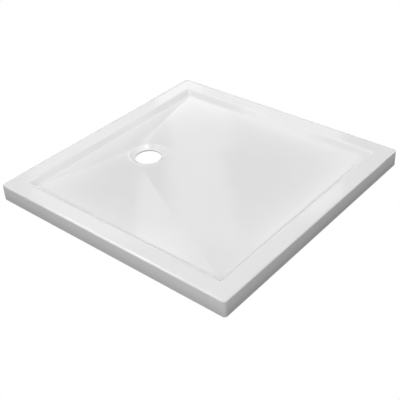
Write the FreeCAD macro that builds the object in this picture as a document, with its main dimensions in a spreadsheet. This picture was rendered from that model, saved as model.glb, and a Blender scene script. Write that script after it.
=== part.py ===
"""Square acrylic shower tray with a hipped floor, a conical waste recess and screw-in levelling feet.

The tray lies on z = 0 with its centre above the origin. +Y points to the side where the waste is,
+X across the tray. All sizes are millimetres.

The moulded shell, its glass-fibre backing and the boards under the floor are layers of one form: a
"plug" is the solid under the tray's upper surface, sunk by the thickness of the layers above it, and
each layer is the difference of two plugs.
"""
import FreeCAD, Part
import math
import os
import Sketcher
from FreeCAD import Vector

# ---------------------------------------------------------------- driving dimensions
SIZES = {
    # outline of the tray
    "tray_half": 450.0,        # half the side of the square tray
    "tray_height": 55.0,
    "outer_corner": 10.0,      # radius of the four standing corners
    "rim_edge": 6.0,           # rounding from the rim into the apron
    # layers
    "acrylic": 3.0,
    "laminate": 2.0,
    "board": 9.0,
    # step from the rim to the floor; the half sides are to the sharp corners of the section
    "step_top_half": 393.0,
    "step_foot_half": 380.0,
    "step_depth": 22.0,
    "step_corner": 12.0,       # radius of the basin's corners in plan
    "step_brow": 9.0,          # rounding from the rim into the step
    "step_hollow": 8.0,        # rounding from the step into the floor
    "step_miter": 0.571,       # shift of those sharp corners for each millimetre of layer
    # hipped floor: edge, half-way section and waste ring
    "floor_half": 374.5,
    "floor_corner": 9.0,
    "half_depth": 30.0,
    "half_front_x": 222.0,
    "half_front_y": 76.0,      # in front of the tray's centre
    "half_rear_x": 190.0,
    "half_rear_y": 337.0,
    "half_corner": 10.0,
    "ring_depth": 38.0,
    "ring_radius": 63.0,
    "ring_round": 9.0,         # rounding from the floor into the cone
    "front_hip_angle": 17.0,   # where the front hips meet the ring, below its cross axis
    "rear_hip_angle": 48.0,    # where the rear hips meet it, above that axis
    "hip_half_angle": 3.0,
    # waste recess
    "waste_y": 240.0,
    "cone_foot_radius": 48.0,
    "cone_foot_round": 4.0,    # rounding from the cone into the lip
    "lip_depth": 49.5,
    "cone_miter": 0.34,        # as step_miter, for the cone
    "waste_radius": 45.0,
    "laminate_trim": 8.0,      # the backing stops this far above the apron's lower edge
    # boards under the floor
    "board_edge": 360.0,
    "front_board_x": 350.0,
    "front_board_top_x": 82.0,
    "front_board_top_y": 150.0,
    "side_board_front_y": 318.0,
    "side_board_inner_x": 95.0,
    "side_board_inner_front_y": 185.0,
    "side_board_inner_rear_y": 286.0,
    "side_board_rear_y": 356.0,
    # battens under the rim
    "batten_middle": 421.0,    # from the tray's centre to a batten's middle line
    "batten_width": 44.0,
    "batten_bottom": 22.0,
    "batten_gap": 0.5,
    "batten_chamfer": 2.0,
    # levelling feet
    "insert_radius": 7.0,
    "insert_length": 15.0,
    "insert_flange": 11.0,
    "insert_flange_thick": 1.5,
    "thread_radius": 5.0,
    "thread_play": 0.05,
    "stem_hole": 5.7,
    "stem_top": 48.0,
    "stem_chamfer": 1.0,
    "collar_bottom": 11.1,
    "collar_thick": 3.9,
    "collar_flats": 14.0,
    "nut_thick": 5.0,
    "nut_flats": 17.0,
    "spigot_radius": 4.0,
    "bead_radius": 5.5,
    "bead_bottom": 3.1,
    "bead_top": 5.0,
    "pad_radius": 19.0,
    "pad_edge": 4.0,
    "pad_hub_radius": 9.0,
    "pad_hub_top": 11.0,
    "pad_socket_bottom": 3.0,
    "pad_chamfer": 1.0,
    "pad_recess_inner": 8.0,   # six recesses under the pad, with ribs between them
    "pad_recess_outer": 16.5,
    "pad_recess_depth": 2.0,
    "pad_rib": 1.8,
}

FOOT_PLACES = {
    "front_left": (-1, -1),
    "front_mid": (0, -1),
    "front_right": (1, -1),
    "mid_left": (-1, 0),
    "mid_right": (1, 0),
    "rear_left": (-1, 1),
    "rear_mid": (0, 1),
    "rear_right": (1, 1),
}

PAD_RECESSES = 6
BELOW = 1.0        # how far a cutting plug reaches below the tray, so that it cuts cleanly
TALL = 60.0        # height of a blank that passes through the whole tray

doc = FreeCAD.newDocument("shower_tray")
sheet = doc.addObject("Spreadsheet::Sheet", "sizes")
for row, (alias, value) in enumerate(SIZES.items(), start=1):
    cell = "B%d" % row
    sheet.set("A%d" % row, alias)
    sheet.set(cell, str(value))
    sheet.setAlias(cell, alias)
doc.recompute()

parts = []


def kept(thing, label):
    """Marks a document object as one piece of the tray, to be written under its label."""
    thing.Label = label
    parts.append(thing)
    return thing


def value_of(expression):
    """Value of an expression on the sheet's aliases."""
    return float(sheet.evalExpression(expression))


# ---------------------------------------------------------------- sketches
def new_body(name):
    return doc.addObject("PartDesign::Body", name)


def origin_plane(body, role):
    return [item for item in body.Origin.OriginFeatures if item.Role == role][0]


def new_sketch(body, name, role="XY_Plane", height=None):
    """A sketch on one of the body's own planes, lifted to a height given as an expression."""
    sketch = body.newObject("Sketcher::SketchObject", name)
    sketch.AttachmentSupport = [(origin_plane(body, role), "")]
    sketch.MapMode = "FlatFace"
    if height is not None:
        sketch.setExpression("AttachmentOffset.Base.z", height)
    return sketch


def fix_point(sketch, geo, pos, x_size, y_size):
    """Ties one end of an edge to the sheet: two signed distances from the sketch's origin."""
    for kind, size in (("DistanceX", x_size), ("DistanceY", y_size)):
        place = value_of(size)
        if abs(place) < 1e-9:
            axis = -2 if kind == "DistanceX" else -1
            sketch.addConstraint(Sketcher.Constraint("PointOnObject", geo, pos, axis))
            continue
        number = sketch.addConstraint(Sketcher.Constraint(kind, -1, 1, geo, pos, place))
        sketch.setExpression("Constraints[%d]" % number, size)


def closed_outline(sketch, corners, radii):
    """A closed outline through corners (pairs of expressions), counter-clockwise.

    radii has one entry for each edge: None for a straight edge, else the radius (an expression) of an
    arc that turns left from its first corner to the next.
    """
    count = len(corners)
    points = [Vector(value_of(x), value_of(y), 0) for x, y in corners]
    for index in range(count):
        start = points[index]
        end = points[(index + 1) % count]
        if radii[index] is None:
            sketch.addGeometry(Part.LineSegment(start, end))
            continue
        radius = value_of(radii[index])
        chord = end.sub(start)
        rise = math.sqrt(max(radius ** 2 - (chord.Length / 2) ** 2, 0.0))
        inward = Vector(-chord.y, chord.x, 0).normalize()
        centre = (start + end) * 0.5 + inward * rise
        first = math.atan2(start.y - centre.y, start.x - centre.x)
        last = math.atan2(end.y - centre.y, end.x - centre.x)
        circle = Part.Circle(centre, Vector(0, 0, 1), radius)
        sketch.addGeometry(Part.ArcOfCircle(circle, first, last))
    for index in range(count):
        following = (index + 1) % count
        sketch.addConstraint(Sketcher.Constraint("Coincident", index, 2, following, 1))
    for index, (x_size, y_size) in enumerate(corners):
        fix_point(sketch, index, 1, x_size, y_size)
    for index, radius in enumerate(radii):
        if radius is not None:
            number = sketch.addConstraint(Sketcher.Constraint("Radius", index, value_of(radius)))
            sketch.setExpression("Constraints[%d]" % number, radius)


def round_square(sketch, half, corner):
    """Square with rounded corners, as eight edges that start at the lower end of the right side."""
    near = "(%s) - (%s)" % (half, corner)
    low = "(%s) - (%s)" % (corner, half)
    minus = "-(%s)" % half
    corners = [
        (half, low), (half, near), (near, half), (low, half),
        (minus, near), (minus, low), (low, minus), (near, minus),
    ]
    radii = [None, corner] * 4
    closed_outline(sketch, corners, radii)


def half_way_section(sketch):
    """The floor's section half-way down: four straight sides and four small hip corners."""
    corner = "sizes.half_corner"
    front_x = "sizes.half_front_x"
    rear_x = "sizes.half_rear_x"
    front_y = "-sizes.half_front_y"
    rear_y = "sizes.half_rear_y"
    corners = [
        (front_x, "%s + %s" % (front_y, corner)),
        (rear_x, "%s - %s" % (rear_y, corner)),
        ("%s - %s" % (rear_x, corner), rear_y),
        ("%s - %s" % (corner, rear_x), rear_y),
        ("-" + rear_x, "%s - %s" % (rear_y, corner)),
        ("-" + front_x, "%s + %s" % (front_y, corner)),
        ("%s - %s" % (corner, front_x), front_y),
        ("%s - %s" % (front_x, corner), front_y),
    ]
    closed_outline(sketch, corners, [None, corner] * 4)


def ring_section(sketch, radius):
    """The waste ring, cut into eight arcs at the ends of the four hips."""
    half = "sizes.hip_half_angle"
    angles = [
        "%s - sizes.front_hip_angle" % half,
        "sizes.rear_hip_angle - %s" % half,
        "sizes.rear_hip_angle + %s" % half,
        "180 - sizes.rear_hip_angle - %s" % half,
        "180 - sizes.rear_hip_angle + %s" % half,
        "180 + sizes.front_hip_angle - %s" % half,
        "180 + sizes.front_hip_angle + %s" % half,
        "360 - sizes.front_hip_angle - %s" % half,
    ]
    corners = [
        ("(%s) * cos(%s)" % (radius, angle), "sizes.waste_y + (%s) * sin(%s)" % (radius, angle))
        for angle in angles
    ]
    closed_outline(sketch, corners, [radius] * len(corners))


# ---------------------------------------------------------------- features
def edges_at(shape, height, outside, inside):
    """Names of the level edges at a height whose ends lie between two half sides of the square."""
    names = []
    for number, edge in enumerate(shape.Edges, start=1):
        box = edge.BoundBox
        reach = max(abs(box.XMin), abs(box.XMax), abs(box.YMin), abs(box.YMax))
        level = abs(box.ZMin - height) < 1e-4 and abs(box.ZMax - height) < 1e-4
        if level and inside < reach <= outside + 1e-4:
            names.append("Edge%d" % number)
    return names


def waste_circle(shape, height, radius):
    """Names of the edges at a height that lie on a circle about the waste's axis."""
    axis = Vector(0, value_of("sizes.waste_y"), height)
    names = []
    for number, edge in enumerate(shape.Edges, start=1):
        places = (edge.valueAt(edge.FirstParameter), edge.valueAt(edge.LastParameter),
                  edge.valueAt((edge.FirstParameter + edge.LastParameter) / 2))
        level = all(abs(place.z - height) < 1e-4 for place in places)
        if level and all(abs(place.sub(axis).Length - radius) < 1e-3 for place in places):
            names.append("Edge%d" % number)
    return names


def round_edges(body, name, names, radius):
    base = body.Tip
    fillet = body.newObject("PartDesign::Fillet", name)
    fillet.Base = (base, names)
    fillet.setExpression("Radius", radius)
    body.Tip = fillet
    doc.recompute()
    return fillet


def subtract_loft(body, name, sections, ruled):
    loft = body.newObject("PartDesign::SubtractiveLoft", name)
    loft.Profile = sections[0]
    loft.Sections = sections[1:]
    loft.Ruled = ruled
    body.Tip = loft
    doc.recompute()
    return loft


def tray_plug(name, layers, drop="0", below=BELOW, waste_hole=False):
    """The solid under the tray's upper surface, sunk by the layers above it.

    layers is an expression for their thickness. Walls and floor both move by it, so that each layer
    keeps its thickness round every corner of the section. drop lowers the whole form unchanged.
    """
    body = new_body(name)
    top = "sizes.tray_height - (%s) - (%s)" % (layers, drop)
    outline = new_sketch(body, name + "_outline", height="%s" % -below)
    round_square(outline, "sizes.tray_half - (%s)" % layers, "sizes.outer_corner - (%s)" % layers)
    block = body.newObject("PartDesign::Pad", name + "_block")
    block.Profile = outline
    block.setExpression("Length", "%s + %s" % (top, below))
    doc.recompute()
    half = value_of("sizes.tray_half - (%s)" % layers)
    rim = edges_at(block.Shape, value_of(top), half, half * 0.5)
    round_edges(body, name + "_rim_edge", rim, "sizes.rim_edge - (%s)" % layers)

    # the step: a straight-walled cut from the rim down to the floor's edge
    foot = "%s - sizes.step_depth" % top
    step_top = new_sketch(body, name + "_step_top", height=top)
    top_half = "sizes.step_top_half + (%s) * sizes.step_miter" % layers
    round_square(step_top, top_half, "sizes.step_corner + (%s)" % layers)
    step_foot = new_sketch(body, name + "_step_foot", height=foot)
    foot_half = "sizes.step_foot_half + (%s) * sizes.step_miter" % layers
    round_square(step_foot, foot_half, "sizes.step_corner + (%s)" % layers)
    step = subtract_loft(body, name + "_step", [step_top, step_foot], True)
    brow = edges_at(step.Shape, value_of(top), value_of(top_half), value_of(foot_half))
    round_edges(body, name + "_brow", brow, "sizes.step_brow - (%s)" % layers)
    hollow = edges_at(body.Tip.Shape, value_of(foot), value_of(foot_half), value_of(foot_half) * 0.9)
    round_edges(body, name + "_hollow", hollow, "sizes.step_hollow + (%s)" % layers)

    # the floor: one smooth loft from the square edge through the half-way section to the ring
    floor_edge = new_sketch(body, name + "_floor_edge", height=foot)
    round_square(floor_edge, "sizes.floor_half", "sizes.floor_corner")
    half_way = new_sketch(body, name + "_half_way", height="%s - sizes.half_depth" % top)
    half_way_section(half_way)
    ring = new_sketch(body, name + "_ring", height="%s - sizes.ring_depth" % top)
    ring_radius = "sizes.ring_radius + (%s) * sizes.cone_miter" % layers
    ring_section(ring, ring_radius)
    subtract_loft(body, name + "_floor", [floor_edge, half_way, ring], False)

    # the waste recess: a cone down to the lip, turned about the waste's axis
    profile = new_sketch(body, name + "_recess_profile", role="YZ_Plane")
    profile.setExpression("AttachmentOffset.Base.x", "sizes.waste_y")
    ring_level = "%s - sizes.ring_depth" % top
    lip_level = "%s - sizes.lip_depth" % top
    cone_foot = "sizes.cone_foot_radius + (%s) * sizes.cone_miter" % layers
    corners = [("0", "%s + %s" % (ring_level, BELOW))]
    if waste_hole:
        corners += [("0", "-%s" % BELOW), ("sizes.waste_radius", "-%s" % BELOW),
                    ("sizes.waste_radius", lip_level)]
    else:
        corners += [("0", lip_level)]
    corners += [(cone_foot, lip_level), (ring_radius, ring_level),
                (ring_radius, "%s + %s" % (ring_level, BELOW))]
    closed_outline(profile, corners, [None] * len(corners))
    recess = body.newObject("PartDesign::Groove", name + "_recess")
    recess.Profile = profile
    recess.ReferenceAxis = (profile, ["V_Axis"])
    recess.Angle = 360
    body.Tip = recess
    doc.recompute()
    ring_edges = waste_circle(recess.Shape, value_of(ring_level), value_of(ring_radius))
    round_edges(body, name + "_ring_round", ring_edges, "sizes.ring_round - (%s)" % layers)
    foot_edges = waste_circle(body.Tip.Shape, value_of(lip_level), value_of(cone_foot))
    if foot_edges:    # a lowered plug's cone runs out below the block
        round_edges(body, name + "_cone_foot", foot_edges, "sizes.cone_foot_round + (%s)" % layers)
    return body


def cut(name, base, tool):
    result = doc.addObject("Part::Cut", name)
    result.Base = base
    result.Tool = tool
    return result


def common(name, base, tool):
    result = doc.addObject("Part::Common", name)
    result.Base = base
    result.Tool = tool
    return result


def cylinder(name, radius, bottom, top, centre=(None, None)):
    """An upright cylinder between two heights; all are expressions."""
    solid = doc.addObject("Part::Cylinder", name)
    solid.setExpression("Radius", radius)
    solid.setExpression("Height", "(%s) - (%s)" % (top, bottom))
    solid.setExpression("Placement.Base.z", bottom)
    for axis, size in zip("xy", centre):
        if size is not None:
            solid.setExpression("Placement.Base.%s" % axis, size)
    return solid


def turned_body(name, corners):
    """A body turned about the Z axis, from a half section given as (radius, height) expressions."""
    body = new_body(name)
    section = new_sketch(body, name + "_section", role="XZ_Plane")
    closed_outline(section, corners, [None] * len(corners))
    turning = body.newObject("PartDesign::Revolution", name + "_turning")
    turning.Profile = section
    turning.ReferenceAxis = (section, ["V_Axis"])
    turning.Angle = 360
    doc.recompute()
    return body


def hexagon(sketch, flats):
    """A regular hexagon about the sketch's origin, with its width across flats given."""
    reach = "(%s) / (2 * cos(30))" % flats
    corners = [
        ("%s * cos(%d)" % (reach, angle), "%s * sin(%d)" % (reach, angle))
        for angle in (-60, 0, 60, 120, 180, 240)
    ]
    closed_outline(sketch, corners, [None] * 6)


def pad_up(body, name, profile, length):
    block = body.newObject("PartDesign::Pad", name)
    block.Profile = profile
    block.setExpression("Length", length)
    doc.recompute()
    return block


def pocket_up(body, name, profile, length):
    """Cuts a profile upwards, from its sketch into the solid above it."""
    before = body.Tip.Shape.Volume
    hole = body.newObject("PartDesign::Pocket", name)
    hole.Profile = profile
    hole.Reversed = True
    hole.setExpression("Length", length)
    doc.recompute()
    if not body.Tip.Shape.Volume < before:
        raise ValueError("%s cuts nothing" % name)
    return hole


def set_place(thing, x_size, y_size):
    thing.setExpression("Placement.Base.x", x_size)
    thing.setExpression("Placement.Base.y", y_size)


def group(name, members):
    """One node made of several separate equal pieces."""
    bundle = doc.addObject("Part::Compound", name)
    bundle.Links = members
    return bundle


# ---------------------------------------------------------------- shell and backing
LAYER_NONE = "0"
LAYER_ACRYLIC = "sizes.acrylic"
LAYER_BOTH = "sizes.acrylic + sizes.laminate"

upper_form = tray_plug("upper_form", LAYER_NONE, below=0.0, waste_hole=True)
acrylic_form = tray_plug("acrylic_form", LAYER_ACRYLIC)
laminate_form = tray_plug("laminate_form", LAYER_BOTH)
board_form = tray_plug("board_form", LAYER_BOTH, drop="sizes.board")

kept(cut("shell_solid", upper_form, acrylic_form), "acrylic_shell")


def laminate_backing():
    """The sprayed backing: the layer under the acrylic, trimmed at the apron, open at the waste."""
    layer = cut("laminate_layer", acrylic_form, laminate_form)
    outside = doc.addObject("Part::Box", "trim_outside")
    inside = doc.addObject("Part::Box", "trim_inside")
    for box, half in ((outside, "sizes.tray_half"), (inside, "sizes.batten_middle")):
        box.setExpression("Length", "2 * " + half)
        box.setExpression("Width", "2 * " + half)
        box.setExpression("Height", "sizes.laminate_trim + %s" % BELOW)
        box.setExpression("Placement.Base.x", "-" + half)
        box.setExpression("Placement.Base.y", "-" + half)
        box.setExpression("Placement.Base.z", "-%s" % BELOW)
    trimmed = cut("laminate_trimmed", layer, cut("trim_frame", outside, inside))
    drill = cylinder("waste_drill", "sizes.waste_radius", "-%s" % BELOW, "sizes.tray_height",
                     centre=(None, "sizes.waste_y"))
    return cut("laminate_solid", trimmed, drill)


kept(laminate_backing(), "glass_fibre_backing")


# ---------------------------------------------------------------- boards under the floor
def floor_board(name, corners, slab):
    """A board bonded under one slope of the floor: the slab under the backing, cut to an outline."""
    blank = new_body(name + "_blank")
    outline = new_sketch(blank, name + "_outline")
    closed_outline(outline, corners, [None] * len(corners))
    pad_up(blank, name + "_block", outline, "%s" % TALL)
    return kept(common(name + "_solid", blank, slab), name)


board_slab = cut("board_slab", laminate_form, board_form)
floor_board("floor_board_front", [
    ("-sizes.front_board_x", "-sizes.board_edge"),
    ("sizes.front_board_x", "-sizes.board_edge"),
    ("sizes.front_board_top_x", "sizes.front_board_top_y"),
    ("-sizes.front_board_top_x", "sizes.front_board_top_y"),
], board_slab)
floor_board("floor_board_right", [
    ("sizes.side_board_inner_x", "sizes.side_board_inner_front_y"),
    ("sizes.board_edge", "-sizes.side_board_front_y"),
    ("sizes.board_edge", "sizes.side_board_rear_y"),
    ("sizes.side_board_inner_x", "sizes.side_board_inner_rear_y"),
], board_slab)
floor_board("floor_board_left", [
    ("-sizes.side_board_inner_x", "sizes.side_board_inner_rear_y"),
    ("-sizes.board_edge", "sizes.side_board_rear_y"),
    ("-sizes.board_edge", "-sizes.side_board_front_y"),
    ("-sizes.side_board_inner_x", "sizes.side_board_inner_front_y"),
], board_slab)


# ---------------------------------------------------------------- battens under the rim
def rim_batten(label, along_x, side, feet):
    """A wooden batten glued under one side of the rim, drilled from below for its feet.

    along_x says which way it runs and side (1 or -1) which rim it is under. feet are the places along
    it, as multiples of the distance from the tray's centre to a batten's middle line.
    """
    body = new_body(label + "_batten")
    near = "sizes.batten_middle - sizes.batten_width / 2"
    far = "sizes.batten_middle + sizes.batten_width / 2"
    reach = far if along_x else near + " - sizes.batten_gap"
    low, high = (near, far) if side > 0 else ("-(%s)" % far, "-(%s)" % near)
    ends = ("-(%s)" % reach, reach)
    x_ends, y_ends = (ends, (low, high)) if along_x else ((low, high), ends)
    outline = new_sketch(body, label + "_outline", height="sizes.batten_bottom")
    closed_outline(outline, [
        (x_ends[0], y_ends[0]), (x_ends[1], y_ends[0]), (x_ends[1], y_ends[1]), (x_ends[0], y_ends[1]),
    ], [None] * 4)
    depth = "sizes.tray_height - sizes.acrylic - sizes.laminate - sizes.batten_bottom"
    block = pad_up(body, label + "_block", outline, depth)
    bottom = value_of("sizes.batten_bottom")
    lower_edges = edges_at(block.Shape, bottom, value_of(far), value_of("sizes.batten_width"))
    chamfer = body.newObject("PartDesign::Chamfer", label + "_chamfer")
    chamfer.Base = (block, lower_edges)
    chamfer.setExpression("Size", "sizes.batten_chamfer")
    body.Tip = chamfer
    doc.recompute()
    for name, radius, length in (("stem_holes", "sizes.stem_hole", depth),
                                 ("insert_holes", "sizes.insert_radius", "sizes.insert_length")):
        holes = new_sketch(body, label + "_" + name, height="sizes.batten_bottom")
        for index, foot in enumerate(feet):
            across = "%d * sizes.batten_middle" % side
            along = "%d * sizes.batten_middle" % foot
            x_size, y_size = (along, across) if along_x else (across, along)
            centre = Vector(value_of(x_size), value_of(y_size), 0)
            holes.addGeometry(Part.Circle(centre, Vector(0, 0, 1), value_of(radius)))
            fix_point(holes, index, 3, x_size, y_size)
            number = holes.addConstraint(Sketcher.Constraint("Radius", index, value_of(radius)))
            holes.setExpression("Constraints[%d]" % number, radius)
        pocket_up(body, label + "_" + name + "_cut", holes, length)
    return kept(body, label)


rim_batten("rim_batten_front", True, -1, (-1, 0, 1))
rim_batten("rim_batten_rear", True, 1, (-1, 0, 1))
rim_batten("rim_batten_left", False, -1, (0,))
rim_batten("rim_batten_right", False, 1, (0,))


# ---------------------------------------------------------------- levelling feet
def foot_insert(name):
    """Flanged threaded insert, driven into a batten from below."""
    bore = "sizes.thread_radius + sizes.thread_play"
    face = "sizes.batten_bottom"
    under = "sizes.batten_bottom - sizes.insert_flange_thick"
    top = "sizes.batten_bottom + sizes.insert_length"
    return turned_body(name, [
        (bore, under), ("sizes.insert_flange", under), ("sizes.insert_flange", face),
        ("sizes.insert_radius", face), ("sizes.insert_radius", top), (bore, top),
    ])


def lock_nut(name):
    """Thin hexagon nut, tight against the insert's flange."""
    body = new_body(name)
    bottom = "sizes.batten_bottom - sizes.insert_flange_thick - sizes.nut_thick"
    outline = new_sketch(body, name + "_outline", height=bottom)
    hexagon(outline, "sizes.nut_flats")
    pad_up(body, name + "_block", outline, "sizes.nut_thick")
    hole = new_sketch(body, name + "_hole", height=bottom)
    radius = "sizes.thread_radius + sizes.thread_play"
    hole.addGeometry(Part.Circle(Vector(0, 0, 0), Vector(0, 0, 1), value_of(radius)))
    fix_point(hole, 0, 3, "0", "0")
    number = hole.addConstraint(Sketcher.Constraint("Radius", 0, value_of(radius)))
    hole.setExpression("Constraints[%d]" % number, radius)
    pocket_up(body, name + "_bore", hole, "sizes.nut_thick")
    return body


def foot_stem(name):
    """Threaded stem with a spanner collar, and a beaded spigot that turns in the pad."""
    shoulder = "sizes.collar_bottom"
    body = turned_body(name, [
        ("0", "sizes.bead_bottom"),
        ("sizes.bead_radius", "sizes.bead_bottom"),
        ("sizes.bead_radius", "sizes.bead_top"),
        ("sizes.spigot_radius", "sizes.bead_top"),
        ("sizes.spigot_radius", shoulder),
        ("sizes.thread_radius", shoulder),
        ("sizes.thread_radius", "sizes.stem_top - sizes.stem_chamfer"),
        ("sizes.thread_radius - sizes.stem_chamfer", "sizes.stem_top"),
        ("0", "sizes.stem_top"),
    ])
    collar = new_sketch(body, name + "_collar", height=shoulder)
    hexagon(collar, "sizes.collar_flats")
    pad_up(body, name + "_collar_block", collar, "sizes.collar_thick")
    return body


def foot_pad(name):
    """Round foot with a hub, ribbed below; the stem's bead snaps into the socket in the hub."""
    play = "sizes.thread_play"
    bore = "sizes.spigot_radius + " + play
    socket = "sizes.bead_radius + 2 * " + play
    ceiling = "sizes.bead_top + 2 * " + play
    body = turned_body(name, [
        ("0", "0"),
        ("sizes.pad_radius - sizes.pad_chamfer", "0"),
        ("sizes.pad_radius", "sizes.pad_chamfer"),
        ("sizes.pad_radius", "sizes.pad_edge"),
        ("sizes.pad_hub_radius", "(sizes.pad_edge + sizes.pad_hub_top) / 2 + 1"),
        ("sizes.pad_hub_radius", "sizes.pad_hub_top"),
        (bore, "sizes.pad_hub_top"),
        (bore, ceiling),
        (socket, ceiling),
        (socket, "sizes.pad_socket_bottom"),
        ("0", "sizes.pad_socket_bottom"),
    ])
    outline = new_sketch(body, name + "_recess_outline")
    inner = "sizes.pad_recess_inner"
    outer = "sizes.pad_recess_outer"
    corners = []
    for radius, sign in ((inner, ""), (outer, ""), (outer, "-"), (inner, "-")):
        reach = "(180 deg / %d - asin(sizes.pad_rib / 2 / %s))" % (PAD_RECESSES, radius)
        corners.append(("%s * cos(%s)" % (radius, reach), "%s%s * sin(%s)" % (sign, radius, reach)))
    closed_outline(outline, corners[::-1], [None, outer, None, None])
    recess = pocket_up(body, name + "_recess", outline, "sizes.pad_recess_depth")
    pattern = body.newObject("PartDesign::PolarPattern", name + "_recesses")
    pattern.Originals = [recess]
    pattern.Axis = (outline, ["N_Axis"])
    pattern.Angle = 360
    pattern.Occurrences = PAD_RECESSES
    body.Tip = pattern
    doc.recompute()
    return body


inserts = []
nuts = []
for place, (across, along) in FOOT_PLACES.items():
    pieces = {
        "insert": foot_insert("insert_" + place),
        "nut": lock_nut("nut_" + place),
        "stem": foot_stem("stem_" + place),
        "pad": foot_pad("pad_" + place),
    }
    for piece in pieces.values():
        set_place(piece, "%d * sizes.batten_middle" % across, "%d * sizes.batten_middle" % along)
    inserts.append(pieces["insert"])
    nuts.append(pieces["nut"])
    kept(pieces["stem"], "foot_stem_" + place)
    kept(pieces["pad"], "foot_pad_" + place)
kept(group("insert_group", inserts), "foot_inserts")
kept(group("nut_group", nuts), "foot_lock_nuts")


# ---------------------------------------------------------------- check and write
doc.recompute()
for thing in doc.Objects:
    if "Invalid" in thing.State or "Error" in thing.State:
        raise ValueError("%s is not built: %s" % (thing.Name, thing.State))
for piece in parts:
    if piece.Shape.isNull() or not piece.Shape.isValid():
        raise ValueError("%s has no valid shape" % piece.Label)

os.makedirs("parts", exist_ok=True)
for piece in parts:
    piece.Shape.exportStep("parts/%s.step" % piece.Label)
    solids = len(piece.Shape.Solids)
    print("%-26s %2d solid(s) %10.1f cm3" % (piece.Label, solids, piece.Shape.Volume / 1000))
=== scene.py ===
"""Looks of a square acrylic shower tray with a hipped floor, a conical waste recess and levelling feet.

Shapes are worked out in millimetres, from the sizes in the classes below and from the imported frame, and
their meshes are laid down in metres. +Y points to the side where the waste is, +Z up.
"""

import logging
import math
from dataclasses import dataclass
from enum import Enum

import bpy
import numpy as np
from bpy.types import Material, Node, NodeSocket, NodeTree, Object
from mathutils import Matrix, Vector
from numpy.typing import NDArray


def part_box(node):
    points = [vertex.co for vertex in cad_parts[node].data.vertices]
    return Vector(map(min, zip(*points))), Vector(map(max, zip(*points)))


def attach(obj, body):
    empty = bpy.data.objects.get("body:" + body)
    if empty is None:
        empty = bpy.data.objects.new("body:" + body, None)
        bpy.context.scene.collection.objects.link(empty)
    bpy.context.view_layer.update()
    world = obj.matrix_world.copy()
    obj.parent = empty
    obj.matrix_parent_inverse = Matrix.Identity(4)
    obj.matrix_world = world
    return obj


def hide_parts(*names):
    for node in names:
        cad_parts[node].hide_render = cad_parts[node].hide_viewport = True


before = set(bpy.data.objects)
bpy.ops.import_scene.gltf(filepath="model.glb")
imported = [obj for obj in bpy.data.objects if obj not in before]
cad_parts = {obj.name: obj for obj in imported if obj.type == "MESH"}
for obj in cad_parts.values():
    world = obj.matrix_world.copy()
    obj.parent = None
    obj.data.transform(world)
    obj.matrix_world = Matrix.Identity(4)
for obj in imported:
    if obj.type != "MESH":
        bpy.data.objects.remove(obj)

MM = 0.001
STANDING_DULLNESS_AND_SHADE = "standing_dullness_and_shade"
WHITE = (1.0, 1.0, 1.0, 1.0)
Points = NDArray[np.float64]
Feed = NodeSocket | float | tuple
Colour = tuple[float, float, float, float]
Span = tuple[float, float]
Triple = tuple[float, float, float]
log = logging.getLogger("shower_tray")


class FootPlace(Enum):
    """Where a levelling foot stands, in the words that its bodies and nodes are named with."""

    FRONT_LEFT = "front_left"
    FRONT_MID = "front_mid"
    FRONT_RIGHT = "front_right"
    MID_LEFT = "mid_left"
    MID_RIGHT = "mid_right"
    REAR_LEFT = "rear_left"
    REAR_MID = "rear_mid"
    REAR_RIGHT = "rear_right"


class Grain(Enum):
    """Which way the grain of a board or batten runs, as the turn about Z that brings it along X."""

    ALONG_X = 0.0
    ALONG_Y = 90.0


# -------- meshes from rings of points
def mesh_piece(name: str, points: Points, faces: list[list[int]], sharp_degrees: float) -> Object:
    """Lays a mesh down in metres, smooth but for edges sharper than an angle.

    Args:
        name: Name of the piece.
        points: Points in millimetres, one line each.
        faces: Point numbers of each face.
        sharp_degrees: Edges that turn by more than this stay sharp.

    Returns:
        The new object, at the origin.
    """
    mesh = bpy.data.meshes.new(name)
    mesh.from_pydata(points * MM, [], faces)
    mesh.update()
    mesh.shade_smooth()
    mesh.set_sharp_from_angle(angle=math.radians(sharp_degrees))
    piece = bpy.data.objects.new(name, mesh)
    bpy.context.scene.collection.objects.link(piece)
    return piece


def ringed_piece(name: str, rings: Points, sharp_degrees: float, centres: list[Points],
                 capped: bool) -> Object:
    """A closed piece of rings joined by quads, repeated at its centres.

    The faces point to the right of the way the rings follow each other, when a ring itself runs
    counter-clockwise.

    Args:
        name: Name of the piece.
        rings: Points in millimetres, as rows of one ring each.
        sharp_degrees: Edges that turn by more than this stay sharp.
        centres: Where its copies stand.
        capped: Whether a flat face closes the first ring and another the last, or the two are joined.

    Returns:
        The new object, at the origin.
    """
    rows, columns = rings.shape[:2]
    row = np.arange(rows - 1 if capped else rows)[:, None]
    column = np.arange(columns)[None, :]
    below = row * columns
    above = (row + 1) % rows * columns
    right = (column + 1) % columns
    quads = np.stack([below + column, below + right, above + right, above + column], axis=-1)
    faces = quads.reshape(-1, 4).tolist()
    if capped:
        last = (rows - 1) * columns
        faces += [list(range(columns))[::-1], list(range(last, last + columns))]
    points = np.concatenate([rings.reshape(-1, 3) + centre for centre in centres])
    starts = [number * rows * columns for number in range(len(centres))]
    copies = [[point + start for point in face] for start in starts for face in faces]
    return mesh_piece(name, points, copies, sharp_degrees)


def finish_piece(piece: Object, body: str, node: str, material: Material) -> None:
    """Gives a piece its material, the body it rides on and the node that it replaces."""
    piece.data.materials.append(material)
    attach(piece, body)
    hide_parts(node)
    log.info("%s: %d faces on %s", piece.name, len(piece.data.polygons), body)


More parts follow.
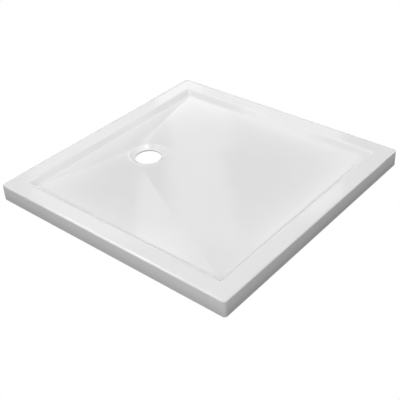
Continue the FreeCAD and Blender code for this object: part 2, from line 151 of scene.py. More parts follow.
def rounded_profile(corners: list[Triple], steps: int = 3, margin: float = 0.05) -> Points:
    """A profile through corners, each rounded by its own radius.

    Each corner is replaced by the arc that touches both its edges: it starts radius * tan(turn / 2)
    before the corner. A point a little outside each end of an arc keeps the flat beside it flat.

    Args:
        corners: (across, height, radius) of each corner.
        steps: Pieces in each arc.
        margin: Distance of the guarding points from the arc's ends.

    Returns:
        Points of the profile, (across, height) on each line.
    """
    places = np.array([corner[:2] for corner in corners])
    made = [places[0]]
    for number, (_, _, radius) in list(enumerate(corners))[1:-1]:
        place = places[number]
        if radius <= 0.0:
            made.append(place)
            continue
        before = places[number - 1] - place
        after = places[number + 1] - place
        before_length = np.linalg.norm(before)
        after_length = np.linalg.norm(after)
        before = before / before_length
        after = after / after_length
        opening = math.acos(float(np.clip(before @ after, -1.0, 1.0)))
        reach = radius / math.tan(opening / 2)
        middle = before + after
        centre = place + middle / np.linalg.norm(middle) * radius / math.sin(opening / 2)
        first = place + before * reach - centre
        side = place + after * reach - centre
        turn = math.pi - opening
        share = np.linspace(0.0, 1.0, steps + 1)[:, None]
        arc = (np.sin((1 - share) * turn) * first + np.sin(share * turn) * side) / math.sin(turn)
        if reach + margin < before_length:
            made.append(place + before * (reach + margin))
        made += list(centre + arc)
        if reach + margin < after_length:
            made.append(place + after * (reach + margin))
    made.append(places[-1])
    return np.array(made)


def polar_grid(radius: Points, angle: Points, height: Points) -> Points:
    """Rings about the Z axis: (radius cos angle, radius sin angle, height), each spread to one shape."""
    radius, angle, height = np.broadcast_arrays(radius, angle, height)
    return np.stack([radius * np.cos(angle), radius * np.sin(angle), height], axis=-1)


# -------- node graphs
NOISE_MOST = (0.3, 0.7)  # where nearly all values of a noise lie
NOISE_MIDDLE = (0.35, 0.65)


def add_node(tree: NodeTree, kind: str, settings: dict | None = None, **feeds: Feed) -> Node:
    """Adds a node to the tree of a material or a world.

    Args:
        tree: The tree that it joins.
        kind: Node type without its ShaderNode prefix.
        settings: Properties of the node itself.
        feeds: Input sockets, by name with underscores for spaces or by number after "n", each with
            a value or the output socket that feeds it.

    Returns:
        The new node.
    """
    made = tree.nodes.new("ShaderNode" + kind)
    for name, value in (settings or {}).items():
        setattr(made, name, value)
    for name, value in feeds.items():
        numbered = name[0] == "n" and name[1:].isdigit()
        socket = made.inputs[int(name[1:]) if numbered else name.replace("_", " ")]
        if isinstance(value, NodeSocket):
            tree.links.new(value, socket)
        else:
            socket.default_value = value
    return made


class Bench:
    """Lays out the nodes of one finish: a material, its shader, and what feeds the shader."""

    def __init__(self, name: str, **constants: float | tuple) -> None:
        """Makes the material; constants are the shader's sockets, with underscores for spaces."""
        self.material = bpy.data.materials.new(name)
        self.material.use_nodes = True
        self.tree = self.material.node_tree
        self.shader = next(node for node in self.tree.nodes if node.type == "BSDF_PRINCIPLED")
        for socket, value in constants.items():
            self.shader.inputs[socket.replace("_", " ")].default_value = value

    def node(self, kind: str, settings: dict | None = None, **feeds: Feed) -> Node:
        """Adds a node to the material, as add_node does."""
        return add_node(self.tree, kind, settings, **feeds)

    def coordinates(self, turn: Triple = (0.0, 0.0, 0.0), stretch: Triple = (1.0, 1.0, 1.0)) -> NodeSocket:
        """Object coordinates, first turned (in degrees) and then stretched for a pattern."""
        place = self.node("TexCoord").outputs["Object"]
        angles = tuple(math.radians(angle) for angle in turn)
        turned = self.node("Mapping", Vector=place, Rotation=angles).outputs["Vector"]
        return self.node("Mapping", Vector=turned, Scale=stretch).outputs["Vector"]

    def noise(self, vector: NodeSocket, waves: float, detail: float = 2.0, roughness: float = 0.5,
              distortion: float = 0.0) -> NodeSocket:
        """A noise pattern about one half, with so many waves to the metre."""
        made = self.node("TexNoise", Vector=vector, Scale=waves, Detail=detail, Roughness=roughness,
                         Distortion=distortion)
        return made.outputs["Fac"]

    def spread(self, value: NodeSocket, source: Span, target: Span = (0.0, 1.0)) -> NodeSocket:
        """Carries a value from its own span to another, and holds it at the ends."""
        made = self.node("MapRange", Value=value, From_Min=source[0], From_Max=source[1],
                         To_Min=target[0], To_Max=target[1])
        return made.outputs["Result"]

    def combine(self, operation: str, first: Feed, second: Feed) -> NodeSocket:
        """One step of arithmetic on two values or sockets."""
        return self.node("Math", {"operation": operation}, n0=first, n1=second).outputs[0]

    def mix(self, share: Feed, first: Feed, second: Feed) -> NodeSocket:
        """A mix of two colours."""
        return self.node("Mix", {"data_type": "RGBA"}, n0=share, n6=first, n7=second).outputs[2]

    def bump(self, height: NodeSocket, depth: float, over: NodeSocket | None = None) -> NodeSocket:
        """Relief from a height between nought and one; depth is in metres. over is relief beneath it."""
        beneath = {} if over is None else {"Normal": over}
        return self.node("Bump", Height=height, Distance=depth, **beneath).outputs["Normal"]

    def dress(self, colour: NodeSocket, roughness: NodeSocket, relief: NodeSocket) -> Material:
        """Joins the three to the shader and hands the finished material back."""
        for name, socket in (("Base Color", colour), ("Roughness", roughness), ("Normal", relief)):
            self.tree.links.new(socket, self.shader.inputs[name])
        return self.material


@dataclass(frozen=True)
class GlossAcrylic:
    """White sanitary acrylic: glossy on the rim, a little duller on the standing area, whose colour is
    darkened towards the floor's middle as painted shade.

    Here and in the other finishes waves are counted to the metre, and reliefs are in metres.
    """

    white: Colour = (0.88, 0.88, 0.88, 1.0)
    # painted shade: the darker white of the standing area
    standing_shaded_white: Colour = (0.74, 0.74, 0.74, 1.0)
    ior: float = 1.49
    gloss: Span = (0.07, 0.10)
    mottle_waves: float = 9.0
    mottle: Span = (-0.03, 0.03)
    wipe_waves: float = 38.0
    wipe: Span = (-0.012, 0.018)
    peel_waves: float = 140.0
    peel_relief: float = 0.000012
    grain_waves: float = 900.0
    grain_relief: float = 0.000004

    def material(self) -> Material:
        """Colour and roughness follow the attribute laid on the shell's standing area: its darker colour
        there is painted shade, its higher roughness a duller finish; the relief is orange peel.
        """
        bench = Bench("white_acrylic", IOR=self.ior)
        place = bench.coordinates()
        standing = bench.node("Attribute", {"attribute_name": STANDING_DULLNESS_AND_SHADE}).outputs["Fac"]
        mottled = bench.spread(bench.noise(place, self.mottle_waves, detail=3.0), NOISE_MOST, self.mottle)
        share = bench.combine("ADD", standing, mottled)
        # painted shade: the standing area's colour darkens from the step towards the floor's middle
        colour = bench.mix(share, self.white, self.standing_shaded_white)
        rough = bench.spread(standing, (0.0, 1.0), self.gloss)
        wipe = bench.noise(place, self.wipe_waves, detail=4.0, roughness=0.6)
        wiped = bench.spread(wipe, NOISE_MIDDLE, self.wipe)
        peel = bench.bump(bench.noise(place, self.peel_waves, detail=1.0), self.peel_relief)
        grain = bench.bump(bench.noise(place, self.grain_waves), self.grain_relief, over=peel)
        return bench.dress(colour, bench.combine("ADD", rough, wiped), grain)


@dataclass(frozen=True)
class GlassFibre:
    """Sprayed polyester and chopped glass strands: milky, waxy and lumpy."""

    resin: Colour = (0.66, 0.68, 0.58, 1.0)
    strand: Colour = (0.80, 0.82, 0.75, 1.0)
    ior: float = 1.55
    turns: tuple[float, ...] = (12.0, 71.0, 133.0)
    slimness: float = 14.0
    strand_waves: float = 60.0
    strand_edge: Span = (0.52, 0.66)
    strand_relief: float = 0.0003
    pool_waves: float = 22.0
    pool_cover: Span = (0.25, 0.9)
    pool_relief: float = 0.0016
    roughness: Span = (0.22, 0.5)

    def material(self) -> Material:
        """A layer of long thin streaks for each turn makes the strands, in pools of resin."""
        bench = Bench("glass_fibre_laminate", IOR=self.ior)
        stretch = (1.0, self.slimness, self.slimness)
        strands = None
        for turn in self.turns:
            along = bench.coordinates((0.0, 0.0, turn), stretch)
            streak = bench.noise(along, self.strand_waves, detail=3.0, roughness=0.7)
            line = bench.spread(streak, self.strand_edge)
            strands = line if strands is None else bench.combine("MAXIMUM", strands, line)
        pool = bench.noise(bench.coordinates(), self.pool_waves, detail=3.0, roughness=0.6)
        share = bench.combine("MULTIPLY", strands, bench.spread(pool, NOISE_MOST, self.pool_cover))
        colour = bench.mix(share, self.resin, self.strand)
        rough = bench.spread(pool, NOISE_MOST, self.roughness)
        lumps = bench.bump(pool, self.pool_relief)
        relief = bench.bump(strands, self.strand_relief, over=lumps)
        return bench.dress(colour, rough, relief)


@dataclass(frozen=True)
class Plywood:
    """Birch plywood: long grain on the faces and thin layers on the edges."""

    grain: Grain
    light: Colour = (0.56, 0.40, 0.24, 1.0)
    dark: Colour = (0.40, 0.26, 0.14, 1.0)
    edge: Colour = (0.22, 0.13, 0.07, 1.0)
    ior: float = 1.45
    ply: float = 0.0015
    ply_edge: Span = (0.42, 0.58)
    slimness: float = 18.0
    figure_waves: float = 6.0
    figure: Span = (0.35, 0.7)
    fibre_waves: float = 90.0
    fibre_relief: float = 0.0003
    roughness: Span = (0.55, 0.75)
    flat: Span = (0.5, 0.9)

    def material(self) -> Material:
        """Grain is noise stretched along its length, and the plies are bands of height."""
        bench = Bench(f"plywood_{self.grain.name.lower()}", IOR=self.ior)
        along = bench.coordinates((0.0, 0.0, self.grain.value), (1.0, self.slimness, self.slimness))
        figure = bench.noise(along, self.figure_waves, detail=6.0, roughness=0.6, distortion=0.6)
        fibre = bench.noise(along, self.fibre_waves, roughness=0.7)
        face = bench.mix(bench.spread(figure, self.figure), self.light, self.dark)
        height = bench.node("SeparateXYZ", Vector=bench.coordinates()).outputs["Z"]
        layer = bench.combine("PINGPONG", height, self.ply)
        band = bench.spread(layer, tuple(self.ply * share for share in self.ply_edge))
        plies = bench.mix(band, self.edge, self.light)
        facing = bench.node("SeparateXYZ", Vector=bench.node("NewGeometry").outputs["Normal"])
        flatness = bench.node("Math", {"operation": "ABSOLUTE"}, n0=facing.outputs["Z"]).outputs[0]
        colour = bench.mix(bench.spread(flatness, self.flat), plies, face)
        rough = bench.spread(fibre, NOISE_MOST, self.roughness)
        relief = bench.bump(fibre, self.fibre_relief)
        return bench.dress(colour, rough, relief)


@dataclass(frozen=True)
class Softwood:
    """Planed pine of the rim battens, with growth rings along their length."""

    grain: Grain
    early: Colour = (0.70, 0.53, 0.32, 1.0)
    late: Colour = (0.48, 0.29, 0.13, 1.0)
    ior: float = 1.45
    lean: Span = (4.0, 1.5)
    ring_stretch: Triple = (0.35, 9.0, 9.0)
    ring_waves: float = 9.0
    ring_edge: Span = (0.45, 1.0)
    ring_strength: float = 0.7
    slimness: float = 30.0
    fibre_waves: float = 70.0
    fibre_relief: float = 0.0002
    roughness: Span = (0.5, 0.72)

    def material(self) -> Material:
        """Growth rings are bands across the grain, bent by slow noise along it."""
        bench = Bench(f"softwood_{self.grain.name.lower()}", IOR=self.ior)
        dip, swing = self.lean
        along = bench.coordinates((0.0, dip, self.grain.value + swing), self.ring_stretch)
        wave = bench.node("TexWave", {"wave_type": "BANDS", "bands_direction": "Y"}, Vector=along,
                          Scale=self.ring_waves, Distortion=5.0, Detail=3.0, Detail_Scale=0.6)
        rings = bench.spread(wave.outputs["Fac"], self.ring_edge)
        stretch = (1.0, self.slimness, self.slimness)
        straight = bench.coordinates((0.0, 0.0, self.grain.value), stretch)
        fibre = bench.noise(straight, self.fibre_waves, detail=3.0)
        share = bench.combine("MULTIPLY", rings, self.ring_strength)
        colour = bench.mix(share, self.early, self.late)
        rough = bench.spread(fibre, NOISE_MOST, self.roughness)
        relief = bench.bump(fibre, self.fibre_relief)
        return bench.dress(colour, rough, relief)


@dataclass(frozen=True)
class ZincPlate:
    """Zinc-plated steel of the stems, nuts and inserts."""

    bright: Colour = (0.66, 0.67, 0.68, 1.0)
    dull: Colour = (0.50, 0.51, 0.50, 1.0)
    cloud_waves: float = 160.0
    roughness: Span = (0.26, 0.42)
    satin_waves: float = 2600.0
    satin_relief: float = 0.000006

    def material(self) -> Material:
        """Slow clouds of passivation over a fine satin."""
        bench = Bench("zinc_plate", Metallic=1.0)
        place = bench.coordinates()
        cloud = bench.noise(place, self.cloud_waves, detail=4.0, roughness=0.6)
        satin = bench.noise(place, self.satin_waves)
        colour = bench.mix(bench.spread(cloud, NOISE_MIDDLE), self.bright, self.dull)
        rough = bench.spread(cloud, NOISE_MIDDLE, self.roughness)
        relief = bench.bump(satin, self.satin_relief)
        return bench.dress(colour, rough, relief)


@dataclass(frozen=True)
class BlackNylon:
    """Moulded black nylon of the foot pads."""

    black: Colour = (0.022, 0.022, 0.024, 1.0)
    scuffed: Colour = (0.06, 0.06, 0.062, 1.0)
    ior: float = 1.53
    scuff_waves: float = 240.0
    scuff_edge: Span = (0.55, 0.75)
    texture_waves: float = 2200.0
    texture_relief: float = 0.00003
    roughness: Span = (0.42, 0.58)

    def material(self) -> Material:
        """A fine spark-eroded texture with paler scuffs."""
        bench = Bench("black_nylon", IOR=self.ior)
        place = bench.coordinates()
        scratch = bench.noise(place, self.scuff_waves, detail=5.0, roughness=0.7)
        scuff = bench.spread(scratch, self.scuff_edge)
        texture = bench.noise(place, self.texture_waves)
        colour = bench.mix(scuff, self.black, self.scuffed)
        rough = bench.spread(texture, NOISE_MOST, self.roughness)
        relief = bench.bump(texture, self.texture_relief)
        return bench.dress(colour, rough, relief)


# -------- the moulded form
@dataclass(frozen=True)
class TrayForm:
    """The tray's moulded form, as rings of points that run round it counter-clockwise.

    Every ring has the same count of points: four sides and four corners, or on the floor four slopes
    and the four hips between them. A depth under the show face names a layer: the form sinks by it, and
    walls move in by it, so that a layer has the same thickness everywhere. Sizes are in millimetres, and
    rings are points as rows of one ring each.
    """

    half: float
    height: float
    outer_corner: float = 10.0
    rim_edge: float = 4.0
    inner_edge: float = 0.5
    rim_fall: float = 1.4
    fall_loss: float = 0.26
    rim_crown: float = 8.5
    rim_bow: float = 32.0
    step_top: float = 393.0
    step_foot: float = 374.3
    step_depth: float = 19.0
    step_corner: float = 5.0
    step_brow: float = 12.0
    step_hollow: float = 13.0
    step_miter: float = 0.419
    floor_half: float = 368.9
    floor_corner: float = 2.0
    half_depth: float = 30.0
    half_front_x: float = 222.0
    half_front_y: float = -76.0
    half_rear_x: float = 190.0
    half_rear_y: float = 337.0
    half_corner: float = 10.0
    half_share: float = 0.52
    ring_depth: float = 38.0
    ring_radius: float = 63.0
    ring_round: float = 7.0
    ring_turn: float = 35.0
    front_hip_angle: float = 17.0
    rear_hip_angle: float = 48.0
    hip_half_angle: float = 3.0
    waste_y: float = 240.0
    cone_foot: float = 48.0
    cone_foot_round: float = 4.0
    cone_miter: float = 0.34
    lip_depth: float = 49.5
    lip_round: float = 0.8
    waste_radius: float = 45.0
    trim: float = 0.4
    side_guard: float = 0.0015
    side_steps: int = 46
    corner_steps: int = 8
    wall_steps: int = 8
    floor_steps: int = 28
    ring_steps: int = 6

    def side_shares(self) -> Points:
        """Shares of the way along a side, closer at its ends so that the corners don't shade it."""
        inner = np.linspace(self.side_guard, 1.0 - self.side_guard, self.side_steps - 1)
        return np.concatenate([[0.0], inner])

    def corner_shares(self) -> Points:
        """Even shares of the way round a corner."""
        return np.linspace(0.0, 1.0, self.corner_steps, endpoint=False)

    def square_rings(self, half: Points, corner: Points, height: Points) -> Points:
        """Rings that are squares with round corners: near * side + corner * (cos a, sin a).

        Args:
            half: Half the side of each ring.
            corner: Radius of each ring's corners.
            height: Height of each ring.

        Returns:
            The rings.
        """
        along = 2.0 * self.side_shares() - 1.0
        turn = self.corner_shares() * math.pi / 2
        base = np.concatenate([np.stack([np.ones_like(along), along], -1), np.ones((len(turn), 2))])
        bow = np.concatenate([np.tile([1.0, 0.0], (len(along), 1)),
                              np.stack([np.cos(turn), np.sin(turn)], -1)])
        quarter = (half - corner)[:, None, None] * base + corner[:, None, None] * bow
        compass = ((1.0, 0.0), (0.0, 1.0), (-1.0, 0.0), (0.0, -1.0))
        flat = np.concatenate([quarter @ np.array([(x, y), (-y, x)]) for x, y in compass], axis=1)
        return np.concatenate([flat, np.broadcast_to(height[:, None, None], flat.shape[:2] + (1,))], -1)

    def outline_ring(self, corners: Points, radii: list[float], height: float) -> Points:
        """A ring through eight corners, by turns a long edge and a short one.

        An edge with a radius is the arc centre + turn(start - centre), whose angle grows evenly from
        nought to 2 asin(chord / 2 radius); one without is straight.

        Args:
            corners: Eight points in plan.
            radii: Radius of each edge, or nought for a straight one.
            height: Height of the ring.

        Returns:
            The one ring.
        """
        made = []
        for number, radius in enumerate(radii):
            start, end = corners[number], corners[(number + 1) % 8]
            share = (self.side_shares() if number % 2 == 0 else self.corner_shares())[:, None]
            if radius == 0.0:
                made.append(start + (end - start) * share)
                continue
            chord = end - start
            length = float(np.hypot(*chord))
            inward = np.array([-chord[1], chord[0]]) / length
            centre = (start + end) / 2 + inward * math.sqrt(max(radius ** 2 - length ** 2 / 4, 0.0))
            angle = share * 2.0 * math.asin(min(length / 2 / radius, 1.0))
            arm = start - centre
            across = np.array([-arm[1], arm[0]])
            made.append(centre + np.cos(angle) * arm + np.sin(angle) * across)
        flat = np.concatenate(made)
        return np.column_stack([flat, np.full(len(flat), height)])

    def circle_ring(self, radius: float, height: float) -> Points:
        """A circle about the waste, whose eight corners are where the four hips meet it."""
        front, rear, wide = self.front_hip_angle, self.rear_hip_angle, self.hip_half_angle
        hips = np.array([rear, 180.0 - rear, 180.0 + front, 360.0 - front])
        ends = np.stack([hips - wide, hips + wide], axis=-1).ravel()
        angles = np.radians(np.roll(np.mod(ends, 360.0), 1))
        corners = np.stack([radius * np.cos(angles), self.waste_y + radius * np.sin(angles)], axis=-1)
        return self.outline_ring(corners, [radius] * 8, height)

    def half_way_ring(self, height: float) -> Points:
        """The floor's section half-way down: a trapezium with small round corners."""
        front_x, rear_x, bend = self.half_front_x, self.half_rear_x, self.half_corner
        front_y, rear_y = self.half_front_y, self.half_rear_y
        corners = np.array([
            (front_x, front_y + bend), (rear_x, rear_y - bend), (rear_x - bend, rear_y),
            (bend - rear_x, rear_y), (-rear_x, rear_y - bend), (-front_x, front_y + bend),
            (bend - front_x, front_y), (front_x - bend, front_y),
        ])
        return self.outline_ring(corners, [0.0, bend] * 4, height)

    def wall_rings(self, depth: float, foot: float) -> Points:
        """Rings from the apron's foot over the rim and down the step to the floor's edge.

        Args:
            depth: Depth of the layer's surface.
            foot: Height at which the apron starts.

        Returns:
            The rings.
        """
        half = self.half - depth
        top = self.height - depth
        brow_half = self.step_top + depth * self.step_miter
        foot_half = self.step_foot + depth * self.step_miter
        edge = max(self.rim_edge - depth, self.inner_edge)
        fall = self.rim_fall - self.fall_loss * depth
        brow = self.step_brow - depth
        profile = rounded_profile([
            (half - self.trim, foot, 0.0), (half, foot + self.trim, 0.0),
            (half, top - fall, edge), (half - self.rim_crown, top, self.rim_bow),
            (brow_half, top, brow), (foot_half, top - self.step_depth, self.step_hollow + depth),
            (self.floor_half, top - self.step_depth, 0.0),
        ], self.wall_steps, self.trim)
        bend = self.step_corner + depth
        outer_bend = self.outer_corner - depth
        slant = math.atan2(self.step_top - self.step_foot, self.step_depth)
        lip = brow * math.tan((math.pi / 2 - slant) / 2)
        corner = np.interp(
            profile[:, 0],
            [self.floor_half, foot_half, brow_half, brow_half + lip, half - edge, half],
            [self.floor_corner, bend, bend, bend + lip, outer_bend - edge, outer_bend])
        return self.square_rings(profile[:, 0], corner, profile[:, 1])

    def floor_rings(self, depth: float) -> Points:
        """Rings of the floor: a smooth curve through its edge, its half-way section and the ring.

        With v the share of the way down, each point is the parabola through its three places at
        v = 0, v = half_share and v = 1. The last part is rounded into the cone by a second parabola
        whose middle handle is the ring's sharp edge.

        Args:
            depth: Depth of the layer's surface.

        Returns:
            The rings, without the floor's outer edge.
        """
        top = self.height - depth
        edge = self.square_rings(
            *np.array([[self.floor_half], [self.floor_corner], [top - self.step_depth]]))[0]
        middle = self.half_way_ring(top - self.half_depth)
        ring_radius = self.ring_radius + depth * self.cone_miter
        ring = self.circle_ring(ring_radius, top - self.ring_depth)
        mid = self.half_share

        def sheet(share: Points) -> Points:
            """The parabola through the three sections at a share of the way down."""
            first = (share - mid) * (share - 1) / mid
            second = share * (share - 1) / (mid * (mid - 1))
            third = share * (share - mid) / (1 - mid)
            return first * edge + second * middle + third * ring

        near = 0.001
        slope = np.linalg.norm(sheet(np.array(1.0)) - sheet(np.array(1.0 - near)), axis=-1) / near
        reach = (self.ring_round - depth) * math.tan(math.radians(self.ring_turn) / 2)
        stop = 1.0 - reach / slope
        share = np.linspace(0.0, 1.0, self.floor_steps + 1)[1:, None, None] * stop[None, :, None]
        slopes = sheet(share)
        cone_foot = self.cone_foot + depth * self.cone_miter
        cone_drop = self.lip_depth - self.ring_depth
        part = reach / math.hypot(ring_radius - cone_foot, cone_drop)
        below = self.circle_ring(ring_radius + (cone_foot - ring_radius) * part,
                                 top - self.ring_depth - cone_drop * part)
        bend = np.linspace(0.0, 1.0, self.ring_steps + 1)[1:, None, None]
        rounding = (1 - bend) ** 2 * slopes[-1] + 2 * bend * (1 - bend) * ring + bend ** 2 * below
        return np.concatenate([slopes, rounding])

    def waste_rings(self, depth: float, bottom: float) -> Points:
        """Rings down the cone, over the lip and down the hole.

        Args:
            depth: Depth of the layer's surface.
            bottom: Height at which the hole's wall ends.

        Returns:
            The rings, without those of the ring's rounding.
        """
        top = self.height - depth
        lip_height = top - self.lip_depth
        corners = [(self.ring_radius + depth * self.cone_miter, top - self.ring_depth, 0.0),
                   (self.cone_foot + depth * self.cone_miter, lip_height, self.cone_foot_round + depth),
                   (self.waste_radius, lip_height, self.lip_round if depth == 0.0 else 0.0)]
        if bottom < lip_height:
            corners.append((self.waste_radius, bottom, 0.0))
        profile = rounded_profile(corners, steps=5, margin=0.15)
        return np.stack([self.circle_ring(radius, height) for radius, height in profile[1:]])

    def layer_rings(self, upper: float, lower: float, foot: float) -> Points:
        """A closed skin about one layer: down its upper surface, and back up along its lower one.

        Args:
            upper: Depth of its upper surface.
            lower: Depth of its lower surface.
            foot: Height at which it ends inside the apron.

        Returns:
            The rings; the last meets the first.
        """
        bottom = self.height - self.lip_depth - lower
        over, under = (np.concatenate([self.wall_rings(depth, foot), self.floor_rings(depth),
                                       self.waste_rings(depth, bottom)]) for depth in (upper, lower))
        return np.concatenate([over, under[-2::-1]])


@dataclass(frozen=True)
class MouldedShell:
    """The acrylic shell and the glass-fibre backing under it. Sizes are in millimetres."""

    form: TrayForm
    acrylic: float = 3.0
    laminate: float = 2.0
    laminate_trim: float = 8.0
    dullness_and_shade_fade: float = 65.0
    waste_fade: float = 4.0
    sharp_edge: float = 50.0

    def shell(self, finish: Material) -> None:
        """The white shell, with the share of its duller standing-area finish and of its painted shade on
        each point.

        The share grows as 1 - exp(-inset / fade) from each side of the floor, and near the waste it
        eases from nought to one as v * v * (3 - 2 v).
        """
        rings = self.form.layer_rings(0.0, self.acrylic, 0.0)
        piece = ringed_piece("moulded_shell", rings, self.sharp_edge, [np.zeros(3)], False)
        points = rings.reshape(-1, 3)
        inset = np.maximum(self.form.floor_half - np.abs(points[:, :2]), 0.0)
        from_waste = np.hypot(points[:, 0], points[:, 1] - self.form.waste_y) - self.form.ring_radius
        ease = np.clip(from_waste / self.waste_fade, 0.0, 1.0)
        # painted shade and duller finish: the share grows from the floor's edges towards its middle
        share = (1.0 - np.exp(-inset / self.dullness_and_shade_fade)).prod(axis=1)
        share *= ease * ease * (3.0 - 2.0 * ease)
        mark = piece.data.attributes.new(STANDING_DULLNESS_AND_SHADE, "FLOAT", "POINT")
        mark.data.foreach_set("value", share.astype(np.float32))
        finish_piece(piece, "tray", "acrylic_shell", finish)

    def backing(self, finish: Material) -> None:
        """The sprayed backing, trimmed above the apron's foot."""
        rings = self.form.layer_rings(self.acrylic, self.acrylic + self.laminate, self.laminate_trim)
        piece = ringed_piece("laminate_backing", rings, self.sharp_edge, [np.zeros(3)], False)
        finish_piece(piece, "tray", "glass_fibre_backing", finish)


@dataclass(frozen=True)
class Underframe:
    """The boards bonded under the floor and the battens under the rim, each named for its side."""

    boards: tuple[str, ...] = ("front", "left", "right")
    battens: tuple[str, ...] = ("front", "rear", "left", "right")

    def dress(self) -> None:
        """Gives each board and batten, as it is in the frame, the wood whose grain runs along it."""
        for word, sides, wood in (("floor_board", self.boards, Plywood),
                                  ("rim_batten", self.battens, Softwood)):
            finishes = {grain: wood(grain).material() for grain in Grain}
            for side in sides:
                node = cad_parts[f"{word}_{side}"]
                grain = Grain.ALONG_Y if side in ("left", "right") else Grain.ALONG_X
                node.data.materials.clear()
                node.data.materials.append(finishes[grain])
                log.info("%s_%s: dressed as it is", word, side)


@dataclass(frozen=True)
class LevellingFeet:
    """The inserts, lock nuts, stems and pads of the eight feet.

    Sizes are in millimetres, and rings are points as rows of one ring each.
    """

    face: float
    thread_radius: float = 5.0
    thread_play: float = 0.05
    pitch: float = 1.5
    thread_depth: float = 0.92
    tooth_flat: float = 0.125
    rows_to_the_pitch: int = 8
    insert_radius: float = 7.0
    insert_length: float = 15.0
    insert_mouth: float = 1.0
    flange_radius: float = 11.0
    flange: float = 1.5
    nut: float = 5.0
    nut_flats: float = 17.0
    nut_ends: tuple[float, ...] = (0.0, 0.12, 0.4, 0.9)
    nut_lead: float = 0.5
    hex_slope: float = 0.5
    hex_end: float = 0.97
    stem_top: float = 48.0
    stem_chamfer: float = 1.0
    stem_cap: float = 1.0
    shoulder: float = 11.1
    collar: float = 3.9
    collar_flats: float = 14.0
    collar_ends: tuple[float, ...] = (0.0, 0.12, 0.35, 0.7)
    spigot_radius: float = 4.0
    spigot_round: float = 0.3
    bead: Triple = (5.5, 3.1, 5.0)
    bead_round: float = 0.5
    pad_radius: float = 19.0
    pad_edge: float = 4.0
    pad_cap: float = 3.0
    pad_land: float = 2.0
    neck_rise: float = 1.0
    neck_round: float = 1.6
    hub_radius: float = 9.0
    hub_top: float = 11.0
    hub_round: float = 0.6
    socket_bottom: float = 3.0
    pad_round: float = 0.9
    small_round: float = 0.4
    tiny_round: float = 0.2
    recess: Triple = (8.0, 16.5, 2.0)
    recesses: int = 6
    rib: float = 1.8
    rib_limit: float = 0.9
    draft: float = 0.12
    columns: int = 48
    columns_to_a_recess: int = 7
    sharp_edge: float = 40.0

    def turn(self) -> Points:
        """Even angles round the axis."""
        return np.linspace(0.0, 2.0 * math.pi, self.columns, endpoint=False)

    def centre(self, place: FootPlace) -> Points:
        """A foot's axis in plan, from its pad in the frame."""
        low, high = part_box(f"foot_pad_{place.value}")
        return np.array([(low.x + high.x) / 2 / MM, (low.y + high.y) / 2 / MM, 0.0])

    def hexagon(self, flats: float, bottom: float, length: float, ends: tuple[float, ...]) -> Points:
        """Rings of a hexagon cut by a cone at both ends: the lesser of hexagon and cone at each angle.

        The hexagon's radius is half its width over flats / cos(angle from the flat's middle).

        Args:
            flats: Width over the flats.
            bottom: Height of its lower end.
            length: Its length.
            ends: How far from an end the rings near it lie.

        Returns:
            The rings.
        """
        near = np.array(ends)
        rise = np.concatenate([near, length - near[::-1]])[:, None]
        cone = flats / 2.0 * self.hex_end + np.minimum(rise, length - rise) / self.hex_slope
        from_flat = np.mod(self.turn(), math.pi / 3) - math.pi / 6
        reach = np.minimum(flats / 2.0 / np.cos(from_flat), cone)
        return polar_grid(reach, self.turn(), rise + bottom)

    def thread(self, low: float, high: float) -> Points:
        """Rings of a right-handed thread: crest minus depth * (1 - tooth(height / pitch - angle / 2 pi)).

        The tooth is a triangle wave with its tips cut off, held under a cone at its upper end and run
        out to the root at its lower end.

        Args:
            low: Height at which the thread starts.
            high: Height of the stem's top.

        Returns:
            The rings.
        """
        rows = int((high - low) / self.pitch * self.rows_to_the_pitch)
        height = np.linspace(low, high, rows)[:, None]
        phase = np.mod(height / self.pitch - self.turn() / (2 * math.pi), 1.0)
        wave = 1.0 - np.abs(2.0 * phase - 1.0)
        tooth = np.clip((1.0 + 2.0 * self.tooth_flat) * wave - self.tooth_flat, 0.0, 1.0)
        grown = np.clip((height - low) / self.pitch, 0.0, 1.0)
        radius = self.thread_radius - self.thread_depth * (1.0 - tooth * grown)
        cone = self.thread_radius - self.stem_chamfer + (high - height)
        return polar_grid(np.minimum(radius, cone), self.turn(), height)

    def stem(self, place: FootPlace, zinc: Material) -> None:
        """The threaded stem: bead, spigot, spanner collar and thread."""
        bead_radius, bead_bottom, bead_top = self.bead
        under = rounded_profile([
            (self.stem_cap, bead_bottom, 0.0), (bead_radius, bead_bottom, self.bead_round),
            (bead_radius, bead_top, self.small_round), (self.spigot_radius, bead_top, self.spigot_round),
            (self.spigot_radius, self.shoulder, 0.0),
        ])
        rings = np.concatenate([
            polar_grid(under[:, :1], self.turn(), under[:, 1:]),
            self.hexagon(self.collar_flats, self.shoulder, self.collar, self.collar_ends),
            self.thread(self.shoulder + self.collar, self.stem_top),
        ])
        self.fit("threaded_stem", "stem", place, rings, zinc)

    def pad(self, place: FootPlace, nylon: Material) -> None:
        """The round pad with its hub and socket, and recesses between ribs underneath."""
        bead_radius, _, bead_top = self.bead
        bore = self.spigot_radius + self.thread_play
        socket = bead_radius + 2 * self.thread_play
        ceiling = bead_top + 2 * self.thread_play
        neck = (self.pad_edge + self.hub_top) / 2 + self.neck_rise
        upper = rounded_profile([
            (self.pad_radius - self.pad_land, 0.0, 0.0), (self.pad_radius, 0.0, self.pad_round),
            (self.pad_radius, self.pad_edge, self.pad_round), (self.hub_radius, neck, self.neck_round),
            (self.hub_radius, self.hub_top, self.hub_round), (bore, self.hub_top, self.small_round),
            (bore, ceiling, 0.0), (socket, ceiling, 0.0), (socket, self.socket_bottom, 0.0),
        ], steps=4, margin=0.15)
        rings = np.concatenate([self.ribbed_face(), self.ribbed_columns(upper[:, :1], upper[:, 1:])])
        self.fit("nylon_pad", "pad", place, rings, nylon)

